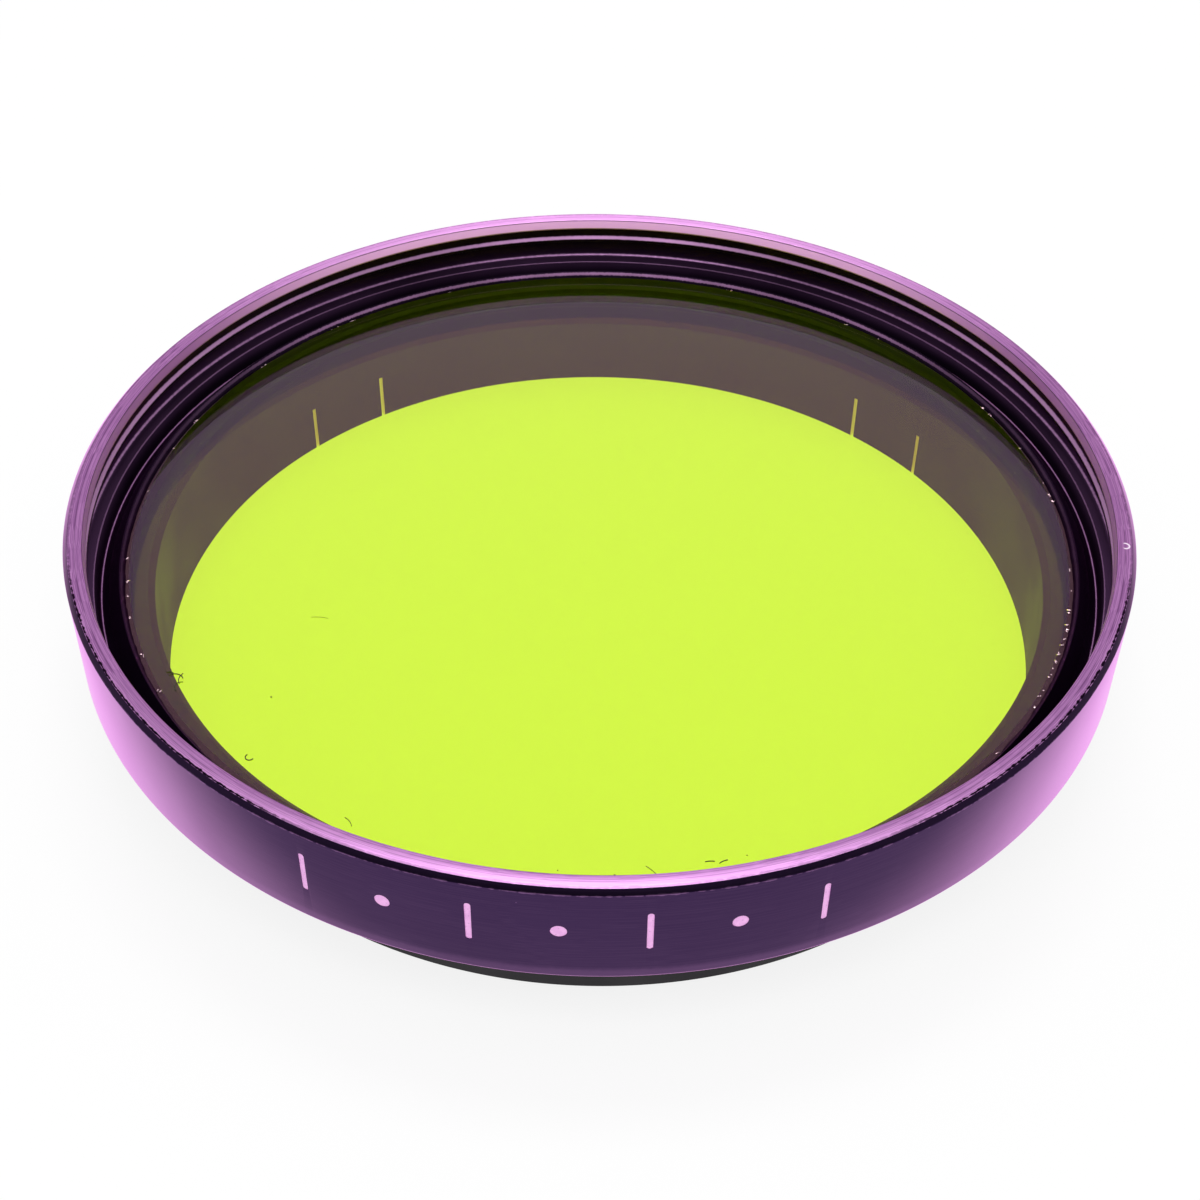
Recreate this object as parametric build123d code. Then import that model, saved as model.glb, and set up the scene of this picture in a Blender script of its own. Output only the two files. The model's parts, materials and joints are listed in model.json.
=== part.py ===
from build123d import *
import math
import os

# A color filter that slips over the rim of a camera lens: one turned ring holds
# a disc of coated glass under a rolled lip, and a slotted collar grips the lens.
# The axis is Z, the origin is the centre of the collar's foot, the scene side is up.
# All sizes are in millimetres and angles in degrees, counted from +X towards +Y.

# Slip-on collar
LENS_RIM_D = 51.0          # outside diameter of the lens rim that the filter fits
SLIP_CLEARANCE = 0.15      # radial play between lens rim and collar
COLLAR_WALL = 0.65
COLLAR_LENGTH = 5.55       # from the foot up to the underside of the ring
FOOT_CHAMFER = 0.15
ROOT_FILLET = 0.2          # inside corner where the collar leaves the ring

# Saw cuts that make the collar springy
SLIT_PAIRS = 4
SLIT_WIDTH = 0.25
SLIT_HEIGHT = 3.2
TONGUE_WIDTH = 5.5         # length of arc between the two slits of a pair
FIRST_PAIR_ANGLE = 42.0

# Glass and its seat
GLASS_THICKNESS = 2.1
GLASS_BEVEL = 0.3
GLASS_CLEARANCE = 0.05     # radial play between glass and seat wall
SEAT_WEB = 1.05            # from the underside of the ring up to the seat
SEAT_CHAMFER = 0.35        # eases the seat's inner edge into the bore
LEDGE_WIDTH = 1.25         # how far the glass rests on the seat

# Lip rolled onto the bevel of the glass, with the groove turned around it
LIP_BITE = 0.12            # how far the tip reaches over the bevel, from the seat wall inwards
LIP_CREST = 0.15           # from the seat wall outwards to the lip's upper edge
LIP_RISE = 0.24            # upper edge above the glass
LIP_KNEE = 0.85            # from the seat wall outwards to where the outer slope turns gentle
LIP_KNEE_DEPTH = 0.6       # the same place, below the top of the glass
LIP_ROOT = 1.3             # from the seat wall outwards to the groove's bottom
MOAT_DEPTH = 0.9           # groove's bottom below the top of the glass
MOAT_WIDTH = 0.25          # from the groove's bottom out to the shoulder wall

# Front bore, measured down from the rim
FRONT_DEPTH = 3.3          # from the rim down to the glass
SHOULDER_DEPTH = 3.2
SHOULDER_SLOPE = 0.1       # the shoulder falls this much towards the axis
RELIEF_DEPTH = 0.8         # how far the relief groove is cut behind the shoulder wall
RELIEF_TOP = 1.7
RELIEF_FILLET = 0.3
RELIEF_WALL = 0.4          # metal left outside the relief groove
LAND_STEP = 0.13           # the land between the grooves stands this far behind the shoulder wall
LAND_DEPTH = 1.5           # where the land starts
SMALL_GROOVE_TOP = 0.65
SMALL_GROOVE_FLANK = 1.3   # where its lower flank starts
SMALL_GROOVE_CUT = 0.2     # how deep it is cut into the land
MOUTH_STEP = 0.04          # the mouth stands this far behind the shoulder wall
MOUTH_CHAMFER_WIDTH = 0.1
MOUTH_CHAMFER_HEIGHT = 0.58

# Outside of the ring
RIM_CHAMFER = 0.25
UNDERSIDE_CHAMFER = 0.3

# Index marks engraved in the outer wall and filled with paint
MARK_COUNT = 7
MARK_PITCH = 8.13          # angle from one mark to the next
MARK_CENTRE_ANGLE = -93.2
MARK_DEPTH_BELOW_RIM = 2.85
TICK_HEIGHT = 2.6
TICK_WIDTH = 0.32
DOT_D = 0.8
ENGRAVING_DEPTH = 0.15
PAINT_BELOW_WALL = 0.03

# Radii, built up from the lens rim outwards
BORE_R = LENS_RIM_D / 2 + SLIP_CLEARANCE
COLLAR_R = BORE_R + COLLAR_WALL
SEAT_OPENING_R = BORE_R + SEAT_CHAMFER
SEAT_R = SEAT_OPENING_R + LEDGE_WIDTH
GLASS_R = SEAT_R - GLASS_CLEARANCE
MOAT_R = SEAT_R + LIP_ROOT
SHOULDER_R = MOAT_R + MOAT_WIDTH
RELIEF_R = SHOULDER_R + RELIEF_DEPTH
BODY_R = RELIEF_R + RELIEF_WALL
MOUTH_R = SHOULDER_R + MOUTH_STEP
LAND_R = SHOULDER_R + LAND_STEP
LIP_TIP_R = SEAT_R - LIP_BITE

# Heights, built up from the foot
SEAT_Z = COLLAR_LENGTH + SEAT_WEB
GLASS_TOP_Z = SEAT_Z + GLASS_THICKNESS
BEVEL_FOOT_Z = GLASS_TOP_Z - GLASS_BEVEL - GLASS_CLEARANCE     # where the bevel's line meets the seat wall
RIM_Z = GLASS_TOP_Z + FRONT_DEPTH


def ring_section():
    """Half section of the ring, from the foot up the outside and back down the inside."""
    outside = [
        (BORE_R + FOOT_CHAMFER, 0),
        (COLLAR_R - FOOT_CHAMFER, 0),
        (COLLAR_R, FOOT_CHAMFER),
        (COLLAR_R, COLLAR_LENGTH),
        (BODY_R - UNDERSIDE_CHAMFER, COLLAR_LENGTH),
        (BODY_R, COLLAR_LENGTH + UNDERSIDE_CHAMFER),
        (BODY_R, RIM_Z - RIM_CHAMFER),
        (BODY_R - RIM_CHAMFER, RIM_Z),
    ]
    front_bore = [
        (MOUTH_R + MOUTH_CHAMFER_WIDTH, RIM_Z),
        (MOUTH_R, RIM_Z - MOUTH_CHAMFER_HEIGHT),
        (MOUTH_R, RIM_Z - SMALL_GROOVE_TOP),
        (LAND_R + SMALL_GROOVE_CUT, RIM_Z - SMALL_GROOVE_TOP),
        (LAND_R + SMALL_GROOVE_CUT, RIM_Z - SMALL_GROOVE_FLANK),
        (LAND_R, RIM_Z - LAND_DEPTH),
        (LAND_R, RIM_Z - RELIEF_TOP),
        (RELIEF_R, RIM_Z - RELIEF_TOP),
        (RELIEF_R, RIM_Z - SHOULDER_DEPTH + SHOULDER_SLOPE),
        (SHOULDER_R, RIM_Z - SHOULDER_DEPTH),
    ]
    lip = [
        (MOAT_R, GLASS_TOP_Z - MOAT_DEPTH),
        (SEAT_R + LIP_KNEE, GLASS_TOP_Z - LIP_KNEE_DEPTH),
        (SEAT_R + LIP_CREST, GLASS_TOP_Z + LIP_RISE),
        (LIP_TIP_R, BEVEL_FOOT_Z + LIP_BITE),
        (SEAT_R, BEVEL_FOOT_Z),
    ]
    seat_and_bore = [
        (SEAT_R, SEAT_Z),
        (SEAT_OPENING_R, SEAT_Z),
        (BORE_R, SEAT_Z - SEAT_CHAMFER),
        (BORE_R, FOOT_CHAMFER),
    ]
    outline = Polyline(*outside, *front_bore, *lip, *seat_and_bore, close=True)
    section = Plane.XZ * make_face(outline)
    section = round_corner(section, COLLAR_R, COLLAR_LENGTH, ROOT_FILLET)
    relief_corner_z = RIM_Z - SHOULDER_DEPTH + SHOULDER_SLOPE
    return round_corner(section, RELIEF_R, relief_corner_z, RELIEF_FILLET)


def round_corner(section, radius_from_axis, height, fillet_radius):
    """Round the corner of a half section that lies nearest to the given place."""
    place = (radius_from_axis, 0, height)
    corner = section.vertices().sort_by_distance(place)[0]
    return fillet(corner, fillet_radius)


def slit_cutters():
    """The pairs of radial saw cuts, open at the collar's foot."""
    half_tongue = math.degrees(TONGUE_WIDTH / 2 / BORE_R)
    saw_reach = COLLAR_WALL * 3
    blade = Box(saw_reach, SLIT_WIDTH, SLIT_HEIGHT * 2)
    blade = Pos(BORE_R + COLLAR_WALL / 2, 0, 0) * blade
    cutters = []
    for pair in range(SLIT_PAIRS):
        middle = FIRST_PAIR_ANGLE + 360 / SLIT_PAIRS * pair
        for angle in (middle - half_tongue, middle + half_tongue):
            cutters.append(Rot(0, 0, angle) * blade)
    return cutters


def mark_shapes(inner_r, outer_r):
    """Prisms of the index marks between two radii: ticks and dots in turn."""
    first_angle = MARK_CENTRE_ANGLE - MARK_PITCH * (MARK_COUNT - 1) / 2
    height = RIM_Z - MARK_DEPTH_BELOW_RIM
    shapes = []
    for index in range(MARK_COUNT):
        outline = Circle(DOT_D / 2) if index % 2 else SlotOverall(TICK_HEIGHT, TICK_WIDTH, rotation=90)
        prism = extrude(outline, outer_r - inner_r)
        facing_out = Plane(origin=(inner_r, 0, height), x_dir=(0, 1, 0), z_dir=(1, 0, 0))
        shapes.append(Rot(0, 0, first_angle + MARK_PITCH * index) * (facing_out * prism))
    return shapes


def mount_ring():
    """The turned ring with its collar slit and its index marks engraved."""
    ring = revolve(ring_section(), Axis.Z, 360)
    engraving = mark_shapes(BODY_R - ENGRAVING_DEPTH, BODY_R + ENGRAVING_DEPTH)
    return ring - slit_cutters() - engraving


def filter_glass():
    """The plane-parallel disc of glass, bevelled on both edges."""
    disc = Pos(0, 0, SEAT_Z + GLASS_THICKNESS / 2) * Cylinder(GLASS_R, GLASS_THICKNESS)
    rims = disc.edges().filter_by(GeomType.CIRCLE)
    return chamfer(rims, GLASS_BEVEL)


def mark_paint():
    """The paint wiped into the engraving, a little below the wall."""
    return Compound(mark_shapes(BODY_R - ENGRAVING_DEPTH, BODY_R - PAINT_BELOW_WALL))


os.makedirs("parts", exist_ok=True)
nodes = {"mount_ring": mount_ring(), "filter_glass": filter_glass(), "mark_paint": mark_paint()}
for name, shape in nodes.items():
    export_step(shape, f"parts/{name}.step")
    print(name, "volume", round(shape.volume, 2), "mm3, size", shape.bounding_box().size)
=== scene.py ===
# %% [markdown]
# # A slip-on color filter, finished in Blender
# The real object is three things: a ring turned from one bar of aluminium and anodised a dark purple, a
# flat disc of yellow-green glass with a thin purple coating on both faces, and paint in engraved marks.
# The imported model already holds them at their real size. This lesson loads it as a fixed frame, spins a
# finer ring and disc in the same place, and gives every surface the finish that handling left on it.

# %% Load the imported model
import json
import math
import random

import bmesh
import bpy
from mathutils import Matrix, Vector, noise


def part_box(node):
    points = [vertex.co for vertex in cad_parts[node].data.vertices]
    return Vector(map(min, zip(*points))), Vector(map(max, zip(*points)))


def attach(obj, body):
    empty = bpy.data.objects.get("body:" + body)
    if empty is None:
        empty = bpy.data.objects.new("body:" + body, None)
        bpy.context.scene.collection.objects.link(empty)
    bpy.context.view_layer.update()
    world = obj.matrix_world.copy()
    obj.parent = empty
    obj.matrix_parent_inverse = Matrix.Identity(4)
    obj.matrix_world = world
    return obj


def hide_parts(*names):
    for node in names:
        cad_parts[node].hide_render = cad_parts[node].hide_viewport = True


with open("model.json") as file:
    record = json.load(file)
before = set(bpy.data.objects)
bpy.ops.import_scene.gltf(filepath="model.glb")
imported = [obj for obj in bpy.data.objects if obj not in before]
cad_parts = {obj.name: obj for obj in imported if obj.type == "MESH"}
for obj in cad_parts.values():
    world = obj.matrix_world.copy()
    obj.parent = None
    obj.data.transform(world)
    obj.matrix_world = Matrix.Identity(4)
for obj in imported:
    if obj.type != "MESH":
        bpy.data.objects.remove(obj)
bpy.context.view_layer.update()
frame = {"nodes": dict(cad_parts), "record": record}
print("packed nodes:", sorted(frame["nodes"]))

# %% [markdown]
# ## Camera
# The photograph was taken from in front and well above, close enough that the far rim is clearly smaller
# than the near one. So the camera stands 108 mm from the middle of the rim and looks down at 42 degrees,
# with a lens that shows a field 35 degrees wide, and it leans by three quarters of a degree. It could be
# turned by hand until the picture fits, but a place and a point to aim at are easier to read and change.

# %% Place the camera
CAMERA_PLACE = Vector((0, -0.08480, 0.07862))
CAMERA_AIM = Vector((0.00005, -0.01012, 0.0120))
CAMERA_LEAN = math.radians(0.765)
CAMERA_LENS = 56.64
SENSOR_WIDTH = 36
NEAREST_SEEN = 0.005

camera = bpy.data.objects.new("camera", bpy.data.cameras.new("camera"))
camera.data.lens = CAMERA_LENS
camera.data.sensor_width = SENSOR_WIDTH
camera.data.clip_start = NEAREST_SEEN
camera.location = CAMERA_PLACE
aimed = (CAMERA_AIM - CAMERA_PLACE).to_track_quat("-Z", "Y").to_matrix()
leaning = aimed @ Matrix.Rotation(CAMERA_LEAN, 3, "Z")
camera.rotation_euler = leaning.to_euler()
bpy.context.scene.collection.objects.link(camera)
bpy.context.scene.camera = camera
print("camera stands", round((CAMERA_AIM - CAMERA_PLACE).length * 1000), "mm from its aim")

# %% [markdown]
# ## Sizes
# What the frame can tell is read from it: the ring's radius and height from its box, the glass from its
# box, and the bore from the mount that the record states. The turned steps inside the front are small
# sizes of their own, so they are named here in millimetres. Depths count down from the rim, and those of
# the lip and of the groove round it, the moat, from the top of the glass.

# %% Read and name the sizes
MM = 0.001

_, ring_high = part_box("mount_ring")
glass_low, glass_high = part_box("filter_glass")
collar = next(m for m in frame["record"]["mounts"] if m["name"] == "lens_collar")

BODY_R = ring_high.x
RIM_Z = ring_high.z
GLASS_R = glass_high.x
GLASS_TOP_Z = glass_high.z
SEAT_Z = glass_low.z
BORE_R = collar["dims"]["r_mm"] * MM
print("ring", round(BODY_R * 2 / MM, 2), "mm across, glass", round(GLASS_R * 2 / MM, 2), "mm across")

COLLAR_WALL = 0.65 * MM
COLLAR_LENGTH = 5.55 * MM
FOOT_CHAMFER = 0.15 * MM
SEAT_CHAMFER = 0.35 * MM
SEAT_PLAY = 0.05 * MM
GLASS_BEVEL = 0.3 * MM
LIP_BITE = 0.12 * MM
LIP_CREST = 0.15 * MM
LIP_RISE = 0.24 * MM
LIP_KNEE = 0.85 * MM
LIP_KNEE_DEPTH = 0.6 * MM
MOAT_DEPTH = 0.9 * MM
MOAT_WIDTH = 0.25 * MM
SHOULDER_DEPTH = 3.2 * MM
RELIEF_WALL = 0.4 * MM
RELIEF_CUT = 0.8 * MM
RELIEF_TOP = 1.7 * MM
RELIEF_FLOOR = 3.1 * MM
LAND_STEP = 0.13 * MM
LAND_TOP = 1.5 * MM
SMALL_GROOVE_CUT = 0.2 * MM
SMALL_GROOVE_TOP = 0.65 * MM
SMALL_GROOVE_FLANK = 1.3 * MM
MOUTH_STEP = 0.04 * MM
MOUTH_CHAMFER_WIDTH = 0.1 * MM
MOUTH_CHAMFER_HEIGHT = 0.58 * MM
RIM_CHAMFER = 0.25 * MM
UNDERSIDE_CHAMFER = 0.3 * MM

COLLAR_R = BORE_R + COLLAR_WALL
SEAT_OPENING_R = BORE_R + SEAT_CHAMFER
SEAT_R = GLASS_R + SEAT_PLAY
LIP_TIP_R = SEAT_R - LIP_BITE
BEVEL_FOOT_Z = GLASS_TOP_Z - GLASS_BEVEL - SEAT_PLAY
RELIEF_R = BODY_R - RELIEF_WALL
SHOULDER_R = RELIEF_R - RELIEF_CUT
MOAT_R = SHOULDER_R - MOAT_WIDTH
LAND_R = SHOULDER_R + LAND_STEP
MOUTH_R = SHOULDER_R + MOUTH_STEP

# %% [markdown]
# ## The ring's section
# A lathe leaves a form that is the same at every angle, so the whole ring is one outline spun round the
# axis. No turned edge is perfectly sharp: a file or a cloth breaks it, and that tiny round is what catches
# the light. Each corner is therefore given with its own small radius, and an arc replaces it. A Bevel
# modifier could break the edges after the spin, but it would give all of them the same width.

# %% Draw the section with its broken edges
ARC_STEPS = 3
ARC_SHARE = 0.45


def corner(radius, height, edge=0.03):
    """One corner of the section: place in metres, and the radius of its broken edge in millimetres."""
    return Vector((radius, 0, height)), edge * MM


def rounded(corners):
    """The closed outline with an arc at each corner, as points in the plane of X and Z."""
    points = []
    for i, (here, radius) in enumerate(corners):
        back = corners[i - 1][0] - here
        on = corners[(i + 1) % len(corners)][0] - here
        opening = back.angle(on)
        reach = min(radius / math.tan(opening / 2), ARC_SHARE * back.length, ARC_SHARE * on.length)
        start, end = here + back.normalized() * reach, here + on.normalized() * reach
        for step in range(ARC_STEPS + 1):
            t = step / ARC_STEPS
            points.append(start * (1 - t) ** 2 + here * 2 * t * (1 - t) + end * t ** 2)
    return points


collar_outside = [
    corner(BORE_R + FOOT_CHAMFER, 0),
    corner(COLLAR_R - FOOT_CHAMFER, 0),
    corner(COLLAR_R, FOOT_CHAMFER),
    corner(COLLAR_R, COLLAR_LENGTH, 0.2),
    corner(BODY_R - UNDERSIDE_CHAMFER, COLLAR_LENGTH, 0.1),
    corner(BODY_R, COLLAR_LENGTH + UNDERSIDE_CHAMFER, 0.2),
]
rim = [
    corner(BODY_R, RIM_Z - RIM_CHAMFER, 0.05),
    corner(BODY_R - RIM_CHAMFER, RIM_Z, 0.05),
    corner(MOUTH_R + MOUTH_CHAMFER_WIDTH, RIM_Z, 0.05),
    corner(MOUTH_R, RIM_Z - MOUTH_CHAMFER_HEIGHT, 0.02),
]
front_bore = [
    corner(MOUTH_R, RIM_Z - SMALL_GROOVE_TOP, 0.02),
    corner(LAND_R + SMALL_GROOVE_CUT, RIM_Z - SMALL_GROOVE_TOP),
    corner(LAND_R + SMALL_GROOVE_CUT, RIM_Z - SMALL_GROOVE_FLANK),
    corner(LAND_R, RIM_Z - LAND_TOP),
    corner(LAND_R, RIM_Z - RELIEF_TOP),
    corner(RELIEF_R, RIM_Z - RELIEF_TOP),
    corner(RELIEF_R, RIM_Z - RELIEF_FLOOR, 0.3),
    corner(SHOULDER_R, RIM_Z - SHOULDER_DEPTH),
]
# A hair of air stays between the metal and the glass, so that the two surfaces show no flicker
AIR = 0.01 * MM
lip = [
    corner(MOAT_R, GLASS_TOP_Z - MOAT_DEPTH, 0.08),
    corner(SEAT_R + LIP_KNEE, GLASS_TOP_Z - LIP_KNEE_DEPTH, 0.1),
    corner(SEAT_R + LIP_CREST, GLASS_TOP_Z + LIP_RISE, 0.04),
    corner(LIP_TIP_R, BEVEL_FOOT_Z + LIP_BITE + AIR * 2, 0.015),
    corner(SEAT_R, BEVEL_FOOT_Z + AIR * 2, 0.01),
]
seat_and_bore = [
    corner(SEAT_R, SEAT_Z - AIR, 0.01),
    corner(SEAT_OPENING_R, SEAT_Z - AIR),
    corner(BORE_R, SEAT_Z - SEAT_CHAMFER),
    corner(BORE_R, FOOT_CHAMFER),
]
section = rounded(collar_outside + rim + front_bore + lip + seat_and_bore)
print("section has", len(section), "points")

# %% [markdown]
# ## Spin the ring
# The spin operator turns the outline in even steps and merges the last copy into the first. The steps are
# short enough that the outline shows no corners in the picture, and that the lip's tip can wander from one
# step to the next. A copy of the outline at every angle could be bridged as well, but spin is one call.

# %% Spin the ring
RING_STEPS = 720
MERGE_DISTANCE = 1e-7
SMOOTH_BELOW = 35


def spun(mesh, points, steps):
    """Spin a closed outline in the plane of X and Z once round the Z axis."""
    verts = [mesh.verts.new(point) for point in points]
    edges = [mesh.edges.new((verts[i - 1], verts[i])) for i in range(len(verts))]
    bmesh.ops.spin(
        mesh, geom=verts + edges, cent=(0, 0, 0), axis=(0, 0, 1), dvec=(0, 0, 0),
        angle=math.tau, steps=steps, use_merge=True, use_duplicate=False,
    )
    bmesh.ops.remove_doubles(mesh, verts=mesh.verts, dist=MERGE_DISTANCE)
    bmesh.ops.recalc_face_normals(mesh, faces=mesh.faces)


def piece(name, mesh, smooth_below=SMOOTH_BELOW):
    """Make an object of a bmesh, smooth where faces meet at less than an angle, and ride it on the body."""
    data = bpy.data.meshes.new(name)
    mesh.to_mesh(data)
    mesh.free()
    data.shade_smooth()
    data.set_sharp_from_angle(angle=math.radians(smooth_below))
    made = bpy.data.objects.new(name, data)
    bpy.context.scene.collection.objects.link(made)
    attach(made, "root")
    return made


ring_mesh = bmesh.new()
spun(ring_mesh, section, RING_STEPS)
print("ring spun:", len(ring_mesh.faces), "faces")

# %% [markdown]
# ## The rolled lip
# The lip is rolled over the bevel by hand pressure, so its tip is not a true circle: it creeps up and down
# the bevel by a few hundredths of a millimetre. It could be sculpted, but a noise that moves the vertices
# of the tip gives the same ring each time. It comes before the ring is made an object and cut.

# %% Make the lip's tip uneven
TIP_REACH = 0.05 * MM
TIP_LOW_Z = BEVEL_FOOT_Z + LIP_BITE * 0.5
TIP_HIGH_Z = GLASS_TOP_Z + LIP_RISE / 2
CREEP = 0.05
LEAST_CREEP = -0.02 * MM
WAVES_PER_METRE, RIPPLES_PER_METRE = 900, 2600
RIPPLE_SHARE = 0.6

for vert in ring_mesh.verts:
    radius = math.hypot(vert.co.x, vert.co.y)
    if radius < SEAT_R + TIP_REACH and TIP_LOW_Z < vert.co.z < TIP_HIGH_Z:
        wave = noise.noise(vert.co * WAVES_PER_METRE)
        ripple = noise.noise(vert.co * RIPPLES_PER_METRE)
        creep = max((wave + RIPPLE_SHARE * ripple) * CREEP * MM, LEAST_CREEP)
        vert.co.x *= (radius - creep) / radius
        vert.co.y *= (radius - creep) / radius
        vert.co.z += creep

# %% [markdown]
# ## Saw slits and engraved marks
# A slitting saw cuts the collar in four pairs, and an engraving cutter sinks four ticks and three dots into
# the outer wall. Both are made as cutters and taken away with a Boolean modifier, because that keeps the
# turned surface round them untouched.

# %% Shape the cutters
SLIT_PAIRS = 4
SLIT_WIDTH = 0.25 * MM
SLIT_HEIGHT = 3.2 * MM
SAW_REACH = COLLAR_WALL * 3
TONGUE_WIDTH = 5.5 * MM
FIRST_PAIR_ANGLE = 42
MARK_COUNT = 7
MARK_PITCH = 8.13
MARK_CENTRE_ANGLE = -93.2
MARK_Z = RIM_Z - 2.85 * MM
TICK_HEIGHT = 2.6 * MM
TICK_WIDTH = 0.32 * MM
DOT_R = 0.4 * MM
MARK_SEGMENTS = 24
ENGRAVING_DEPTH = 0.15 * MM


def turned_to(angle, radius, height):
    """Place on the ring: local X points outwards at an angle in degrees, local Z up."""
    turn = Matrix.Rotation(math.radians(angle), 4, "Z")
    return turn @ Matrix.Translation((radius, 0, height))


def add_block(mesh, place, size):
    """A box of a size at a place."""
    bmesh.ops.create_cube(mesh, size=1, matrix=place @ Matrix.Diagonal((*size, 1)))


def add_mark(mesh, index, inner_r, outer_r):
    """The prism of one index mark, a tick with round ends or a dot, between two radii."""
    first = MARK_CENTRE_ANGLE - MARK_PITCH * (MARK_COUNT - 1) / 2
    place = turned_to(first + MARK_PITCH * index, (inner_r + outer_r) / 2, MARK_Z)
    radius = DOT_R if index % 2 else TICK_WIDTH / 2
    outwards = Matrix.Rotation(math.pi / 2, 4, "Y")
    made = bmesh.ops.create_cone(
        mesh, cap_ends=True, segments=MARK_SEGMENTS, radius1=radius, radius2=radius,
        depth=outer_r - inner_r, matrix=place @ outwards,
    )
    if index % 2 == 0:
        stretch = TICK_HEIGHT / 2 - radius
        for vert in made["verts"]:
            vert.co.z += stretch if vert.co.z > MARK_Z else -stretch


cutter = bmesh.new()
half_tongue = math.degrees(TONGUE_WIDTH / 2 / BORE_R)
for pair in range(SLIT_PAIRS):
    for side in (-half_tongue, half_tongue):
        angle = FIRST_PAIR_ANGLE + 360 / SLIT_PAIRS * pair + side
        place = turned_to(angle, BORE_R + COLLAR_WALL / 2, 0)
        add_block(cutter, place, (SAW_REACH, SLIT_WIDTH, SLIT_HEIGHT * 2))

for index in range(MARK_COUNT):
    add_mark(cutter, index, BODY_R - ENGRAVING_DEPTH, BODY_R + ENGRAVING_DEPTH)
print("cutters:", SLIT_PAIRS * 2, "slits and", MARK_COUNT, "marks")

# %% Cut the ring


def cut(target, cutter, name):
    """Take a bmesh of closed solids away from an object."""
    data = bpy.data.meshes.new(name)
    bmesh.ops.recalc_face_normals(cutter, faces=cutter.faces)
    cutter.to_mesh(data)
    cutter.free()
    tool = bpy.data.objects.new(name, data)
    bpy.context.scene.collection.objects.link(tool)
    modifier = target.modifiers.new(name, "BOOLEAN")
    modifier.operation = "DIFFERENCE"
    modifier.solver = "EXACT"
    modifier.object = tool
    evaluated = target.evaluated_get(bpy.context.evaluated_depsgraph_get())
    result = bpy.data.meshes.new_from_object(evaluated)
    target.modifiers.clear()
    target.data = result
    bpy.data.objects.remove(tool)


ring = piece("turned_ring", ring_mesh)
cut(ring, cutter, "slits_and_marks")
ring.data.shade_smooth()
ring.data.set_sharp_from_angle(angle=math.radians(SMOOTH_BELOW))
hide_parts("mount_ring")
print("ring cut:", len(ring.data.polygons), "faces")

# %% [markdown]
# ## The glass
# The disc is a plain cylinder whose two edges are ground to a small flat. It is made as a cone of equal
# radii with its caps, and the bevel operator cuts the two edges. It could be spun like the ring, but then
# each polished face would be a fan of thin triangles instead of one flat face.

# %% Make the disc of glass
GLASS_STEPS = 360

glass_mesh = bmesh.new()
middle = Matrix.Translation((0, 0, (GLASS_TOP_Z + SEAT_Z) / 2))
bmesh.ops.create_cone(
    glass_mesh, cap_ends=True, segments=GLASS_STEPS, radius1=GLASS_R, radius2=GLASS_R,
    depth=GLASS_TOP_Z - SEAT_Z, matrix=middle,
)
caps = [face for face in glass_mesh.faces if len(face.verts) == GLASS_STEPS]
cap_edges = [edge for face in caps for edge in face.edges]
bmesh.ops.bevel(
    glass_mesh, geom=cap_edges, offset=GLASS_BEVEL, segments=1, affect="EDGES",
    profile=0.5, material=-1, offset_type="OFFSET",
)
bmesh.ops.recalc_face_normals(glass_mesh, faces=glass_mesh.faces)
glass = piece("filter_disc", glass_mesh)
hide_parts("filter_glass")
print("glass:", len(glass.data.polygons), "faces")

# %% [markdown]
# ## The paint
# Paint is wiped into the engraving and sits a little below the wall, so each mark is the same prism as its
# recess, ended short of the wall. It could be a colour on the wall, but real paint has a step to the wall
# that catches light, and its own dullness.

# %% Fill the marks with paint
PAINT_BELOW_WALL = 0.03 * MM

paint_mesh = bmesh.new()
for index in range(MARK_COUNT):
    add_mark(paint_mesh, index, BODY_R - ENGRAVING_DEPTH, BODY_R - PAINT_BELOW_WALL)
bmesh.ops.recalc_face_normals(paint_mesh, faces=paint_mesh.faces)
paint = piece("mark_fill", paint_mesh)
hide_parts("mark_paint")
print("paint:", MARK_COUNT, "marks filled")

# %% [markdown]
# ## Building materials
# A material is a small graph. A few helpers keep it readable: one adds a node and links or sets its
# inputs, the others do arithmetic, mix colours, map a value or read a noise over the piece. An effect that
# several finishes share goes into a node group, which is made once here and placed with its own numbers
# in each material.

# %% Helpers for node graphs


def add(tree, kind, inputs=None, **settings):
    """Add a shader node, set its settings, and link or set its inputs by name or number."""
    node = tree.nodes.new("ShaderNode" + kind)
    for key, value in settings.items():
        setattr(node, key, value)
    for key, value in (inputs or {}).items():
        if isinstance(value, bpy.types.NodeSocket):
            tree.links.new(value, node.inputs[key])
        else:
            node.inputs[key].default_value = value
    return node


def maths(tree, operation, *values):
    """The result of one arithmetic node."""
    return add(tree, "Math", dict(enumerate(values)), operation=operation).outputs[0]


def mixed(tree, factor, first, second):
    """A colour between two colours."""
    node = add(tree, "Mix", {0: factor, 6: first, 7: second}, data_type="RGBA")
    return node.outputs[2]


def ramped(tree, value, low, high, start=0.0, end=1.0):
    """Map a value from low..high to start..end, smoothly and without leaving the range."""
    inputs = {"Value": value, "From Min": low, "From Max": high, "To Min": start, "To Max": end}
    return add(tree, "MapRange", inputs, interpolation_type="SMOOTHSTEP").outputs[0]


def object_noise(tree, scale, detail=2.0):
    """A noise over the piece itself, read by its Object coordinates in metres."""
    where = add(tree, "TexCoord").outputs["Object"]
    return add(tree, "TexNoise", {"Vector": where, "Scale": scale, "Detail": detail}).outputs["Fac"]


def material(name):
    """A new material and its empty graph."""
    made = bpy.data.materials.new(name)
    made.use_nodes = True
    made.node_tree.nodes.clear()
    return made, made.node_tree


def show(tree, shader, output="OutputMaterial"):
    """Make a shader the one that a material, or the world, shows."""
    end = add(tree, output)
    tree.links.new(shader.outputs[0], end.inputs["Surface"])


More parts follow.
